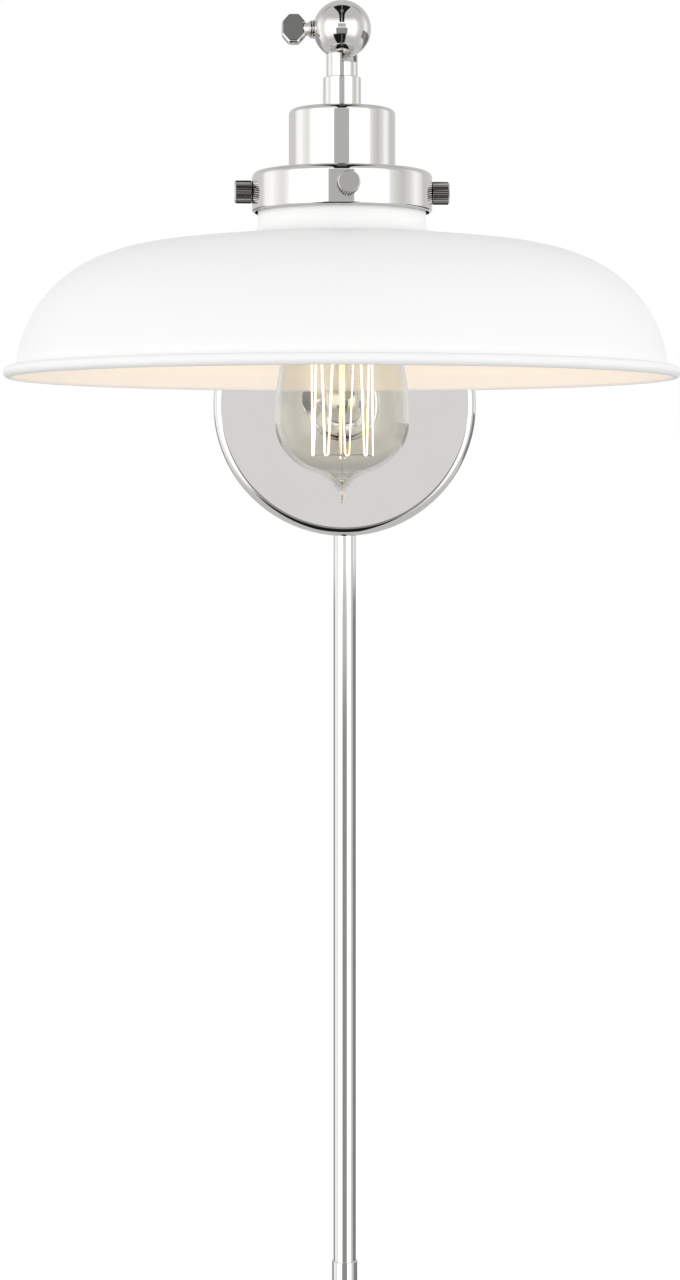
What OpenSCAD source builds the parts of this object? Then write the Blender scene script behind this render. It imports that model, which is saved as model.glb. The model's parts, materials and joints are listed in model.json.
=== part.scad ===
// Swing arm wall sconce: wall plate and cord cover, swinging and tilting arm,
// and a round dome shade with a clear lamp. Millimetres. The wall is the plane
// y = 0, the origin is the middle of the wall plate's back, -Y faces the room
// and +Z is up.

/* [Wall plate] */
// Diameter of the wall plate
plate_d = 148; // [140:1:160]
// How far the plate's face stands off the wall
plate_depth = 20; // [18:1:24]
// Radius of the plate's rounded edge
plate_edge_r = 5; // [3:0.5:7]
// Diameter of the hub on the plate
hub_d = 48.4; // [44:0.4:54]
// Thickness of the hub
hub_depth = 16; // [14:1:20]

/* [Mounting bracket] */
// Distance between the two slots that take the wall screws
slot_spacing = 88.9; // [88.9:0.1:90]
// Distance between the two inner screw holes
inner_spacing = 69.85; // [68:0.05:70]
// End-to-end length of a slot
slot_length = 11; // [9:0.5:11]
// Diameter of the screw holes and width of the slots
screw_hole_d = 4.6; // [4.2:0.1:4.8]

/* [Cord cover] */
// Outer diameter of the tube
tube_d = 12.7; // [12:0.1:13]
// Height of the tube's middle line over the wall
tube_out = 8; // [8:0.1:8.4]
// How far below the origin the tube starts, inside the plate
tube_top = 62; // [58:1:66]
// How far below the origin the cord cover ends
cover_bottom = 498; // [400:1:600]
// Length of the end ferrule
ferrule_length = 14; // [10:1:20]
// Diameter of the end ferrule
ferrule_d = 14.3; // [14:0.1:15]

/* [Swivels and arm] */
// Diameter of the two ball swivels
ball_d = 26.3; // [25:0.1:28]
// Diameter of the necks next to the balls
neck_d = 14.2; // [13:0.1:15]
// Diameter of the arm tube
arm_d = 12.7; // [12:0.1:13]
// How far the upper ball is in front of the lower ball
arm_reach = 248; // [220:1:300]
// How far the upper ball is above the lower ball
arm_rise = 160; // [120:1:165]

/* [Shade] */
// Diameter of the shade over its rolled edge
shade_d = 305; // [280:1:330]
// Thickness of the shade's sheet metal
shade_wall = 1; // [0.8:0.1:1.4]
// How far the shade's lowest edge is below the upper ball's centre
shade_drop = 158.5; // [155:0.5:162]
// Radius of the rolled edge's section
bead_r = 2.6; // [2:0.1:3]

/* [Lamp head] */
// Diameter of the shade holder
holder_d = 81.6; // [80:0.2:84]
// Height of the shade holder
holder_h = 18.3; // [17:0.1:20]
// Diameter of the socket cup
cup_d = 48.2; // [46:0.2:52]
// Height of the socket cup
cup_h = 28.4; // [27:0.2:32]
// Turn of the four holder screws about the stem, seen from above
screw_turn = 4; // [0:1:10]
// Diameter of the lamp's glass
bulb_d = 61; // [58:1:64]

/* [Hidden] */
$fn = 96;

chrome = "#d8d9d9";
brass = "#c9a55a";
zinc = "#b9bbb8";
black = "#222222";
porcelain = "#ece8df";
white = "#f4f4f2";

// wall side
sheet = 1.2;
hub_front = plate_depth + hub_depth;
yoke_neck = 3;
yoke_wall = 5;
yoke_w = 22;
ear_in = 7.6;
ear_out = 13.4;
swing_gap = 1;
swing_out = hub_front + yoke_neck + yoke_wall + yoke_w / 2 + swing_gap;
pin_r = 3;
nipple_r = 4.8;
nipple_bore_r = 3.5;
bracket_out = 9;
bracket_t = 2;
bracket_h = 20;
bracket_foot = 46.5;
fit = 0.05;

// the lower ball is this far in front of the swing axis
ball_ahead = 34;
ball_r = ball_d / 2;
neck_r = neck_d / 2;
seam = 0.1;
neck_start = 15.1;
neck_end = 22;
pole_cut = ball_r - 0.85;
pivot_r = 2.5;
cavity_r = 8.8;
boss_r = 4.4;
lead_x = 3.7;
lead_bore_r = 2.1;
lead_r = 0.9;
lower_ball = [0, -(swing_out + ball_ahead), 0];
upper_ball = lower_ball + [0, -arm_reach, arm_rise];
arm_len = norm(upper_ball - lower_ball);
arm_lean = atan2(arm_reach, arm_rise);
collar_r = 8.58;
collar_len = 14.4;
// the arm's upper neck is longer, so its collar stays behind the socket cup
upper_neck = 44;

// paddle of the swivel screws
paddle_turn = -30;
paddle_long = 11.2;
paddle_wide = 16.4;
paddle_t = 3.5;
paddle_far = 27.4;
paddle_cut = 3.6;

// lamp head, on the axis below the upper ball
axis_y = upper_ball[1];
stem_step = upper_ball[2] - neck_end;
cup_top = stem_step - collar_len;
cup_bottom = cup_top - cup_h;
holder_bottom = cup_bottom - holder_h;
cup_r = cup_d / 2;
holder_r = holder_d / 2;
lampholder_r = 18;
screw_z = cup_bottom - holder_h / 2;
screw_head_r = 5.2;
screw_head_from = holder_r + 0.5;
screw_head_len = 7.3;
screw_r = 2;

// shade outline: crown, middle and shoulder arcs that run into each other
k = shade_d / 305;
rim_z = upper_ball[2] - shade_drop;
crown_r = 678 * k;
middle_r = 88 * k;
shoulder_r = 58 * k;
crown_end = 7.5;
middle_end = 23.3;
shoulder_end = 83.4;
shade_neck_r = 38;
shade_fillet = 7;
apex_z = rim_z + 65.5 * k;
shade_neck_top = cup_bottom - 4.7;

// lamp
base_r = 13;
base_bottom = cup_bottom - 21.5;
base_top = cup_bottom - 1.5;
glass_t = 0.8;
bulb_r = bulb_d / 2;
bulb_wide_z = -17.6;
bulb_low_z = -42.5;
bulb_tip_z = -54.5;
cage_r = 14;
cage_low = -33;
cage_high = 36;
cage_wires = 12;

// points on an arc about c, from angle a0 to a1
function arc(c, r, a0, a1, n = 8) =
    [for (i = [0 : n]) c + r * [cos(a0 + (a1 - a0) * i / n), sin(a0 + (a1 - a0) * i / n)]];

// a frame whose Z runs out from the wall
module from_wall() rotate([90, 0, 0]) children();

// a frame at the lower ball whose Z runs along the arm
module along_arm() translate(lower_ball) rotate([arm_lean, 0, 0]) children();

// a frame on the lamp head's axis, at global heights
module on_axis() translate([0, axis_y, 0]) children();

module ring(r_out, r_in, z0, z1) {
    translate([0, 0, z0]) difference() {
        cylinder(r = r_out, h = z1 - z0);
        translate([0, 0, -1]) cylinder(r = r_in, h = z1 - z0 + 2);
    }
}

// everything on one side of the plane x = 0, from the seam outwards
module half_space(side) {
    translate([side > 0 ? seam / 2 : -60 - seam / 2, -30, -30]) cube([60, 60, 60]);
}

// half of a ball swivel with its round neck along +Z; side is +1 or -1
module ball_half(side, length = neck_end) {
    difference() {
        union() {
            intersection() {
                union() {
                    sphere(r = ball_r);
                    cylinder(r = neck_r, h = neck_start + 1);
                }
                half_space(side);
            }
            translate([0, 0, neck_start]) cylinder(r = neck_r, h = length - neck_start);
        }
        // room for the leads round the pivot boss
        difference() {
            sphere(r = cavity_r);
            rotate([0, 90, 0]) cylinder(r = boss_r, h = 40, center = true);
        }
        translate([side * lead_x, 0, 0]) difference() {
            cylinder(r = lead_bore_r, h = length + 1);
            translate([0, 0, -1]) cylinder(r = lead_bore_r + 1, h = boss_r + 1.5);
        }
        // clearance hole on the screw's side, blind thread on the other
        if (side < 0) {
            rotate([0, -90, 0]) cylinder(r = pivot_r + fit, h = 30);
            translate([-pole_cut - 10, -10, -10]) cube([10, 20, 20]);
        } else {
            rotate([0, 90, 0]) cylinder(r = pivot_r + fit, h = 9.6);
        }
    }
}

// washer between the left pole and the screw
module pole_washer() {
    rotate([0, -90, 0]) ring(4.3, pivot_r + 0.1, pole_cut, pole_cut + 1);
}

// thumb screw with a flat paddle, along -X, its thread in the right half
module paddle_screw() {
    near = pole_cut + 1 + fit;
    far = paddle_far;
    a = far - paddle_long;
    w = paddle_wide / 2;
    c = paddle_cut;
    rotate([0, -90, 0]) rotate_extrude() polygon([
        [0, -8.6], [pivot_r, -8.6], [pivot_r, near], [4.1, near], [4.1, near + 1.1],
        [2.9, near + 1.7], [2.9, a - 0.4], [3.8, a + 1.4], [0, a + 1.4]
    ]);
    rotate([paddle_turn, 0, 0]) translate([-far, paddle_t / 2, 0]) rotate([90, 0, 0])
        linear_extrude(height = paddle_t) polygon([
            [0, -w + c + 2.6], [0, w - c - 2.6], [c - 0.6, w - 0.8], [c + 1.6, w],
            [paddle_long - c, w], [paddle_long, w - c - 1.4], [paddle_long, -w + c + 1.4],
            [paddle_long - c, -w], [c + 1.6, -w], [c - 0.6, -w + 0.8]
        ]);
}

module backplate() {
    r = plate_d / 2;
    e = plate_edge_r;
    color(chrome) difference() {
        from_wall() rotate_extrude() polygon(concat(
            [[nipple_r + 0.2, plate_depth], [nipple_r + 0.2, plate_depth - sheet]],
            arc([r - e, plate_depth - e], e - sheet, 90, 0),
            [[r - sheet, 0], [r, 0]],
            arc([r - e, plate_depth - e], e, 0, 90)
        ));
        // notch that the cord cover comes in through
        translate([-tube_d / 2 - 0.3, -tube_out, -r - 1]) cube([tube_d + 0.6, tube_out + 1, 6]);
        translate([0, -tube_out, -r - 1]) cylinder(r = tube_d / 2 + 0.3, h = 6);
    }
}

// strap with two feet on the wall and a raised middle
module mounting_bracket() {
    foot_in = inner_spacing / 2 - 6;
    h = bracket_h;
    color(zinc) difference() {
        union() {
            for (s = [-1, 1])
                translate([s > 0 ? foot_in : -bracket_foot - 6.5, -bracket_t, -h / 2])
                    cube([bracket_foot + 6.5 - foot_in, bracket_t, h]);
            for (s = [-1, 1])
                translate([s > 0 ? foot_in - bracket_t : -foot_in, -bracket_out, -h / 2])
                    cube([bracket_t, bracket_out, h]);
            translate([-foot_in, -bracket_out, -h / 2]) cube([2 * foot_in, bracket_t, h]);
        }
        for (s = [-1, 1]) {
            translate([s * inner_spacing / 2, 1, 0]) from_wall()
                cylinder(d = screw_hole_d, h = bracket_t + 2);
            translate([s * slot_spacing / 2, 1, 0]) from_wall() {
                reach = (slot_length - screw_hole_d) / 2;
                for (t = [-1, 1]) translate([t * reach, 0, 0])
                    cylinder(d = screw_hole_d, h = bracket_t + 2);
                translate([-reach, -screw_hole_d / 2, 0])
                    cube([2 * reach, screw_hole_d, bracket_t + 2]);
            }
        }
        from_wall() cylinder(r = nipple_r, h = bracket_out + 1);
        translate([18, 0, 0]) from_wall() cylinder(r = 2, h = bracket_out + 1);
    }
}

module ground_screw() {
    color("#3c8a4a") translate([18, 0, 0]) from_wall() {
        translate([0, 0, bracket_out - 4]) cylinder(r = 2, h = 4);
        difference() {
            translate([0, 0, bracket_out]) cylinder(r = 4.2, h = 2.6);
            translate([-5, -0.5, bracket_out + 1.6]) cube([10, 1, 2]);
        }
    }
}

module hub() {
    r = hub_d / 2;
    color(chrome) from_wall() rotate_extrude() polygon(concat(
        [[nipple_r, plate_depth], [r, plate_depth]],
        arc([r - 4, hub_front - 4], 4, 0, 90),
        [[nipple_r, hub_front]]
    ));
}

module hub_nipple() {
    color(brass) from_wall() ring(nipple_r, nipple_bore_r, bracket_out - 7.5, hub_front);
}

module nipple_nut() {
    color(brass) from_wall() translate([0, 0, bracket_out - bracket_t - 4]) difference() {
        cylinder(r = 7.5, h = 4, $fn = 6);
        translate([0, 0, -1]) cylinder(r = nipple_r, h = 6);
    }
}

module nipple_washer() {
    color(zinc) from_wall() ring(8.4, nipple_r, bracket_out, bracket_out + 1);
}

// two twist-on wire connectors lying beside the bracket
module wire_connectors() {
    for (s = [-1, 1]) color("#e8e2d2") translate([s * 19, -9, 21]) rotate([0, s * 70, 0])
        rotate_extrude() polygon([
            [0, -10], [3.2, -10], [4, -8], [5, 7], [6.2, 8], [6.2, 10], [4.4, 10], [3.8, -6], [0, -6]
        ]);
}

module hub_leads() {
    for (s = [-1, 1]) color(s > 0 ? black : porcelain) translate([s * 1.4, 0, 0]) from_wall()
        translate([0, 0, 3]) cylinder(r = lead_r, h = hub_front + yoke_neck - 3);
}

// fork with two ears that hold the upright pin
module swing_yoke() {
    w = yoke_w / 2;
    back = hub_front + yoke_neck;
    color(chrome) difference() {
        union() {
            from_wall() translate([0, 0, hub_front]) cylinder(r = 10, h = yoke_neck + 1);
            intersection() {
                union() {
                    translate([-w, -back - yoke_wall, -ear_out])
                        cube([yoke_w, yoke_wall, 2 * ear_out]);
                    for (s = [-1, 1])
                        translate([-w, -swing_out, s > 0 ? ear_in : -ear_out])
                            cube([yoke_w, swing_out - back, ear_out - ear_in]);
                    for (s = [-1, 1])
                        translate([0, -swing_out, s > 0 ? ear_in : -ear_out])
                            cylinder(r = w, h = ear_out - ear_in);
                }
                // rounded back corners, as turned from round bar
                from_wall() translate([0, 0, back]) cylinder(r = 16, h = 60);
            }
        }
        translate([0, -swing_out, -ear_out - 1]) cylinder(r = pin_r, h = 2 * ear_out + 2);
        from_wall() translate([0, 0, hub_front - 1]) cylinder(r = nipple_bore_r, h = 12);
    }
}

module swing_pin() {
    color(zinc) translate([0, -swing_out, -ear_out - 3.5])
        cylinder(r = pin_r, h = 2 * ear_out + 7);
}

// domed nuts on the two ends of the pin
module pin_cap_nuts() {
    for (s = [0, 1]) color(chrome) translate([0, -swing_out, 0]) rotate([s * 180, 0, 0])
        translate([0, 0, ear_out]) rotate_extrude() polygon(concat(
            [[pin_r, 0], [6.2, 0], [6.2, 2]],
            arc([0, 2], 5.4, 0, 90),
            [[0, 4.2], [pin_r, 3.5]]
        ));
}

// tube over the cord, with two keyholes in its back that hook on the studs
module cord_tube() {
    stud_at = [-tube_top - 70, -cover_bottom + 60];
    bottom = -cover_bottom + ferrule_length - 4;
    color(chrome) difference() {
        translate([0, -tube_out, 0]) ring(tube_d / 2, tube_d / 2 - 1, bottom, -tube_top);
        for (z = stud_at) {
            translate([0, 0, z - 9]) from_wall() cylinder(r = 3.5, h = tube_out);
            translate([-2.2, -tube_out, z - 9]) cube([4.4, tube_out, 9]);
            translate([0, 0, z]) from_wall() cylinder(r = 2.2, h = tube_out);
        }
    }
}

// studs on small wall strips behind the tube
module tube_studs() {
    stud_at = [-tube_top - 70, -cover_bottom + 60];
    for (z = stud_at) color(zinc) difference() {
        union() {
            translate([-5, -1.2, z - 8]) cube([10, 1.2, 26]);
            translate([0, 0, z]) from_wall() {
                cylinder(r = 2, h = 5);
                translate([0, 0, 3.9]) cylinder(r = 3.2, h = 1.1);
            }
        }
        translate([0, 1, z + 12]) from_wall() cylinder(r = 1.8, h = 4);
    }
}

module tube_ferrule() {
    r = ferrule_d / 2;
    h = ferrule_length;
    color(chrome) translate([0, -tube_out, -cover_bottom]) rotate_extrude() polygon(concat(
        [[tube_d / 2, h], [tube_d / 2, h - 4], [r - 1.8, h - 4], [r - 1.8, 0]],
        arc([r - 1, 1], 1, -90, 0, 4),
        arc([r - 0.6, h - 0.6], 0.6, 0, 90, 4)
    ));
}

module ferrule_bush() {
    color(black) translate([0, -tube_out, -cover_bottom])
        ring(ferrule_d / 2 - 1.8, 4, 0.6, ferrule_length - 4);
}

// barrel on the upright pin with the boss that the lower swivel is screwed to
module swing_tongue() {
    color(chrome) difference() {
        union() {
            translate([0, -swing_out, -6.8]) cylinder(r = yoke_w / 2, h = 13.6);
            translate([0, -swing_out, 0]) from_wall() cylinder(r = 6.75, h = ball_ahead - neck_end);
        }
        translate([0, -swing_out, -8]) cylinder(r = 4, h = 16);
        translate([-6.2, -swing_out + 12, 0]) from_wall() cylinder(r = lead_bore_r, h = 40);
    }
}

module tongue_bush() {
    color(brass) translate([0, -swing_out, 0]) ring(4, pin_r + fit, -6.8, 6.8);
}

module tongue_washers() {
    for (s = [-1, 1]) color(black) translate([0, -swing_out, s * 7.15])
        ring(8, pin_r + fit, -0.3, 0.3);
}

module wall_ball_half() {
    color(chrome) translate(lower_ball) rotate([-90, 0, 0]) ball_half(-1);
}

module wall_ball_washer() {
    color(chrome) translate(lower_ball) pole_washer();
}

module wall_swivel_screw() {
    color(chrome) translate(lower_ball) paddle_screw();
}

module arm_lower_ball_half() {
    color(chrome) along_arm() ball_half(1);
}

module arm_collar_at(z) {
    color(chrome) along_arm() translate([0, 0, z]) difference() {
        rotate_extrude() polygon(concat(
            [[neck_r - 2.5, 0], [collar_r - 0.5, 0], [collar_r, 0.5]],
            [[collar_r, collar_len - 0.5], [collar_r - 0.5, collar_len], [neck_r - 2.5, collar_len]]
        ));
        translate([0, 0, -1]) cylinder(r = arm_d / 2, h = collar_len + 2);
    }
}

module arm_lower_collar() {
    arm_collar_at(neck_end);
}

module arm_upper_collar() {
    arm_collar_at(arm_len - upper_neck - collar_len);
}

module arm_tube() {
    color(chrome) along_arm() ring(arm_d / 2, arm_d / 2 - 1, neck_end, arm_len - upper_neck);
}

module arm_leads() {
    for (s = [-1, 1]) color(s > 0 ? black : porcelain) along_arm()
        translate([lead_x, s * lead_r, 8]) cylinder(r = lead_r, h = arm_len - 16, $fn = 24);
}

module arm_upper_ball_half() {
    color(chrome) along_arm() translate([0, 0, arm_len]) rotate([180, 0, 0])
        ball_half(1, upper_neck);
}

module head_ball_half() {
    color(chrome) translate(upper_ball) rotate([180, 0, 0]) ball_half(-1);
}

module head_ball_washer() {
    color(chrome) translate(upper_ball) pole_washer();
}

module head_swivel_screw() {
    color(chrome) translate(upper_ball) paddle_screw();
}

module stem_collar() {
    color(chrome) on_axis() difference() {
        translate([0, 0, cup_top]) rotate_extrude() polygon([
            [0, 0], [collar_r, 0], [collar_r, collar_len - 0.5], [collar_r - 0.5, collar_len],
            [0, collar_len]
        ]);
        translate([0, 0, cup_top - 1]) cylinder(r = nipple_r, h = collar_len + 2);
    }
}

module stem_nipple() {
    color(brass) on_axis() ring(nipple_r, nipple_bore_r, cup_bottom + 16, stem_step);
}

module stem_nut() {
    color(zinc) on_axis() translate([0, 0, cup_top - sheet - 3]) difference() {
        cylinder(r = 7.5, h = 3, $fn = 6);
        translate([0, 0, -1]) cylinder(r = nipple_r, h = 5);
    }
}

module head_leads() {
    for (s = [-1, 1]) color(s > 0 ? black : porcelain) on_axis()
        translate([-1.6, s * 1.3, cup_bottom + 14.5])
            cylinder(r = lead_r, h = stem_step - cup_bottom - 15.5, $fn = 24);
}

module socket_cup() {
    r = cup_r;
    e = 2.6;
    color(chrome) on_axis() rotate_extrude() polygon(concat(
        [[nipple_r, cup_top], [nipple_r, cup_top - sheet]],
        arc([r - e, cup_top - e], e - sheet, 90, 0, 6),
        [[r - sheet, cup_bottom], [r, cup_bottom]],
        arc([r - e, cup_top - e], e, 0, 90, 6)
    ));
}

module lampholder_body() {
    top = cup_bottom + 20;
    color(porcelain) on_axis() rotate_extrude() polygon([
        [nipple_r, top], [lampholder_r - 3, top], [lampholder_r, top - 3], [lampholder_r, base_bottom - 2],
        [lampholder_r - 1, base_bottom - 3], [base_r + 0.9, base_bottom - 3], [base_r + 0.9, cup_bottom + 4],
        [3, cup_bottom + 4], [3, cup_bottom + 14], [nipple_r, cup_bottom + 14]
    ]);
}

module lampholder_shell() {
    color(brass) on_axis() ring(base_r + 0.9, base_r + 0.3, base_bottom - 1, cup_bottom + 3);
}

// spring tab that meets the lamp's tip
module lampholder_contact() {
    color(brass) on_axis() {
        translate([-2.5, -10, cup_bottom + 3.2]) cube([5, 16, 0.8]);
        translate([-2.5, -3, cup_bottom + 2.2]) cube([5, 6, 1]);
    }
}

// threaded ring that clamps the shade holder up against the cup
module holder_ring() {
    color(zinc) on_axis() ring(23, lampholder_r, cup_bottom - sheet - 5, cup_bottom - sheet);
}

module shade_holder() {
    r = holder_r;
    t = sheet;
    e = 3;
    lip = 2.2;
    color(chrome) on_axis() difference() {
        rotate_extrude() polygon(concat(
            [[lampholder_r, cup_bottom], [lampholder_r, cup_bottom - t]],
            arc([r - e, cup_bottom - e], e - t, 90, 0, 6),
            arc([r - lip, holder_bottom + lip], lip - t, 0, -90, 5),
            arc([r - lip, holder_bottom + lip], lip, -90, 0, 5),
            arc([r - e, cup_bottom - e], e, 0, 90, 6)
        ));
        for (i = [0 : 3]) rotate([0, 0, screw_turn + 90 * i])
            translate([r - 4, 0, screw_z]) rotate([0, 90, 0]) cylinder(r = screw_r + fit, h = 8);
    }
}

// outline points of the shade, offset inwards by t
function shade_curve(t) = let (
    fillet_c = [shade_neck_r + shade_fillet,
                apex_z - crown_r + sqrt(pow(crown_r + shade_fillet, 2)
                                        - pow(shade_neck_r + shade_fillet, 2))],
    start = asin((shade_neck_r + shade_fillet) / (crown_r + shade_fillet)),
    c1 = [0, apex_z - crown_r],
    c2 = c1 + (crown_r - middle_r) * [sin(crown_end), cos(crown_end)],
    c3 = c2 + (middle_r - shoulder_r) * [sin(middle_end), cos(middle_end)]
) concat(
    arc(fillet_c, shade_fillet + t, 180, 270 - start, 7),
    arc(c1, crown_r - t, 90 - start, 90 - crown_end, 5),
    arc(c2, middle_r - t, 90 - crown_end, 90 - middle_end, 6),
    arc(c3, shoulder_r - t, 90 - middle_end, 90 - shoulder_end, 18)
);

function reversed(v) = [for (i = [len(v) - 1 : -1 : 0]) v[i]];

module shade() {
    t = shade_wall;
    top = shade_neck_top;
    bead_c = [shade_d / 2 - bead_r, rim_z + bead_r];
    // small roll at the top of the neck, the curve, the rolled edge, and back inside
    color(white) on_axis() rotate_extrude() polygon(concat(
        [[shade_neck_r - t, top], [shade_neck_r + 1, top], [shade_neck_r + 1, top - 1.2],
         [shade_neck_r, top - 1.2]],
        shade_curve(0),
        arc(bead_c, bead_r, 150, -165, 18),
        reversed(shade_curve(t))
    ));
}

// one of the four knurled screws that hold the shade's neck
module holder_screw(i) {
    tip = shade_neck_r + 0.3;
    from = screw_head_from;
    far = from + screw_head_len;
    color(chrome) on_axis() translate([0, 0, screw_z]) rotate([0, 0, screw_turn + 90 * i])
        rotate([0, 90, 0]) rotate_extrude() polygon([
            [0, tip], [screw_r - 0.5, tip], [screw_r, tip + 0.5], [screw_r, from], [4, from],
            [screw_head_r, from + 0.5], [screw_head_r, far - 0.5], [screw_head_r - 0.5, far], [0, far]
        ]);
}

module holder_screw_front() { holder_screw(3); }
module holder_screw_right() { holder_screw(0); }
module holder_screw_rear() { holder_screw(1); }
module holder_screw_left() { holder_screw(2); }

// outline of the glass from the drawn-out tip up to the base, offset inwards by t
function glass_curve(t) = let (
    r = bulb_r - t,
    low = bulb_low_z + t,
    neck = base_r - 0.1 - t,
    top = base_bottom + 1,
    side = 10
) concat(
    [for (i = [1 : 9]) let (a = -90 + 10 * i) [r * cos(a), bulb_wide_z + (bulb_wide_z - low) * sin(a)]],
    [for (i = [1 : side]) let (u = i / side)
        [neck + (r - neck) * (0.5 + 0.5 * cos(180 * pow(u, 1.1))),
         bulb_wide_z + (top - bulb_wide_z) * u]]
);

module bulb_glass() {
    color([0.93, 0.9, 0.84, 0.35]) on_axis() rotate_extrude() polygon(concat(
        [[0, bulb_tip_z], [0.7, bulb_tip_z + 0.5], [1.1, bulb_tip_z + 3.5], [3.2, bulb_low_z - 4.2],
         [6, bulb_low_z - 1.2]],
        glass_curve(0),
        reversed(glass_curve(glass_t)),
        [[0, bulb_low_z + glass_t]]
    ));
}

module bulb_base() {
    color(brass) on_axis() ring(base_r, base_r - 0.6, base_bottom + 1, base_top - 3);
}

module bulb_contact() {
    color(black) on_axis() rotate_extrude() polygon([
        [0, base_top - 5], [base_r - 0.6, base_top - 5], [base_r - 0.6, base_top - 3], [6, base_top + 0.2],
        [4, base_top + 1.2], [4, base_top + 2.6], [3, base_top + 3.4], [0, base_top + 3.4]
    ]);
}

// flared glass foot with the thin glass rod and its end button
module bulb_stem() {
    color([0.9, 0.9, 0.88, 0.5]) on_axis() rotate_extrude() polygon([
        [0, cage_low - 1.4], [2.4, cage_low - 1], [2.4, cage_low + 0.2], [1.4, cage_low + 1],
        [1.4, cage_high - 6], [3.2, cage_high - 3], [3.6, base_bottom - 14], [6, base_bottom - 5],
        [11.4, base_bottom + 2], [0, base_bottom + 2]
    ]);
}

// two stars of fine hooks that carry the filament
module filament_supports() {
    for (end = [[cage_low, 2.4], [cage_high, 3.3]]) color(zinc) on_axis()
        for (i = [0 : cage_wires - 1]) rotate([0, 0, 360 / cage_wires * i])
            translate([end[1], 0, end[0]]) rotate([0, 90, 0])
                cylinder(r = 0.25, h = cage_r - end[1], $fn = 16);
}

module filament() {
    color("#ffb54a") on_axis() for (i = [0 : cage_wires - 1])
        rotate([0, 0, 360 / cage_wires * i]) translate([cage_r + 0.3, 0, cage_low])
            cylinder(r = 0.3, h = cage_high - cage_low, $fn = 16);
}

backplate();
mounting_bracket();
ground_screw();
hub();
hub_nipple();
nipple_nut();
nipple_washer();
wire_connectors();
hub_leads();
swing_yoke();
swing_pin();
pin_cap_nuts();
cord_tube();
tube_ferrule();
ferrule_bush();
tube_studs();
swing_tongue();
tongue_bush();
tongue_washers();
wall_ball_half();
wall_ball_washer();
wall_swivel_screw();
arm_lower_ball_half();
arm_lower_collar();
arm_tube();
arm_leads();
arm_upper_collar();
arm_upper_ball_half();
head_ball_half();
head_ball_washer();
head_swivel_screw();
stem_collar();
stem_nipple();
stem_nut();
head_leads();
socket_cup();
lampholder_body();
lampholder_shell();
lampholder_contact();
holder_ring();
shade_holder();
shade();
holder_screw_front();
holder_screw_right();
holder_screw_rear();
holder_screw_left();
bulb_glass();
bulb_base();
bulb_contact();
bulb_stem();
filament_supports();
filament();
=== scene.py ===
import json
import math

import bpy
from mathutils import Matrix, Vector


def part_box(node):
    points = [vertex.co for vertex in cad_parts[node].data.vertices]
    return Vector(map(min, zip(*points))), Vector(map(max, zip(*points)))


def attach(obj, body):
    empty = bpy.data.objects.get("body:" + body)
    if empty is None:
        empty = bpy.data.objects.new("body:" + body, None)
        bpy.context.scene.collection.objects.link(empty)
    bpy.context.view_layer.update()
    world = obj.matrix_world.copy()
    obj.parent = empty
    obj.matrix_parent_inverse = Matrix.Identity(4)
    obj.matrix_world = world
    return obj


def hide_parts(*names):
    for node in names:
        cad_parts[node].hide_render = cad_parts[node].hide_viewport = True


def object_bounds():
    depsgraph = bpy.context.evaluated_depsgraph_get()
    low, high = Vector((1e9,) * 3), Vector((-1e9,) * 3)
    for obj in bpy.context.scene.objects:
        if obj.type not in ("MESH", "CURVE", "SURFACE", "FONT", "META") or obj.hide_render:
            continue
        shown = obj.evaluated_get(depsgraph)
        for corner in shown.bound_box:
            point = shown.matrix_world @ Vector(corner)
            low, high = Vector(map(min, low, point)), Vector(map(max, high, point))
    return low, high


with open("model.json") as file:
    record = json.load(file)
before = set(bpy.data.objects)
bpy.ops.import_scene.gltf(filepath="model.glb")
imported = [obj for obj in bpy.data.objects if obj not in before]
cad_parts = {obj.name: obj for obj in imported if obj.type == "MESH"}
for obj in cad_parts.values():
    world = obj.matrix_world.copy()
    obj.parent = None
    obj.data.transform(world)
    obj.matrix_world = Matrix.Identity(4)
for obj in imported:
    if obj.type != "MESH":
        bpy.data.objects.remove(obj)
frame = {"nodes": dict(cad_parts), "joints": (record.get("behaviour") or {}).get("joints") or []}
cad_low, cad_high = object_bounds()
bpy.ops.object.select_all(action="DESELECT")


# ---------------------------------------------------------------- studio
# A level camera in front of the wall side, a pale floor disc, and a studio that only polished
# metal mirrors: a ring of soft panels that fades to grey walls, a slot between the two front
# panels, a black cloth with a grey card over it, and a few dark corners.

camera_out = 1.65
camera_high = -0.05
lens_mm = 81.56
frame_shift = -0.1145
frame_side = -0.01195
camera_side = 0.006
floor_high = -1.1
floor_radius = 1.15

lens = bpy.data.cameras.new("camera")
lens.lens = lens_mm
lens.shift_y = frame_shift
lens.shift_x = frame_side
camera = bpy.data.objects.new("camera", lens)
camera.location = (camera_side, -camera_out, camera_high)
camera.rotation_euler = (math.pi / 2, 0, 0)
bpy.context.scene.collection.objects.link(camera)
bpy.context.scene.camera = camera
bpy.context.scene.view_settings.view_transform = "Standard"


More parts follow.
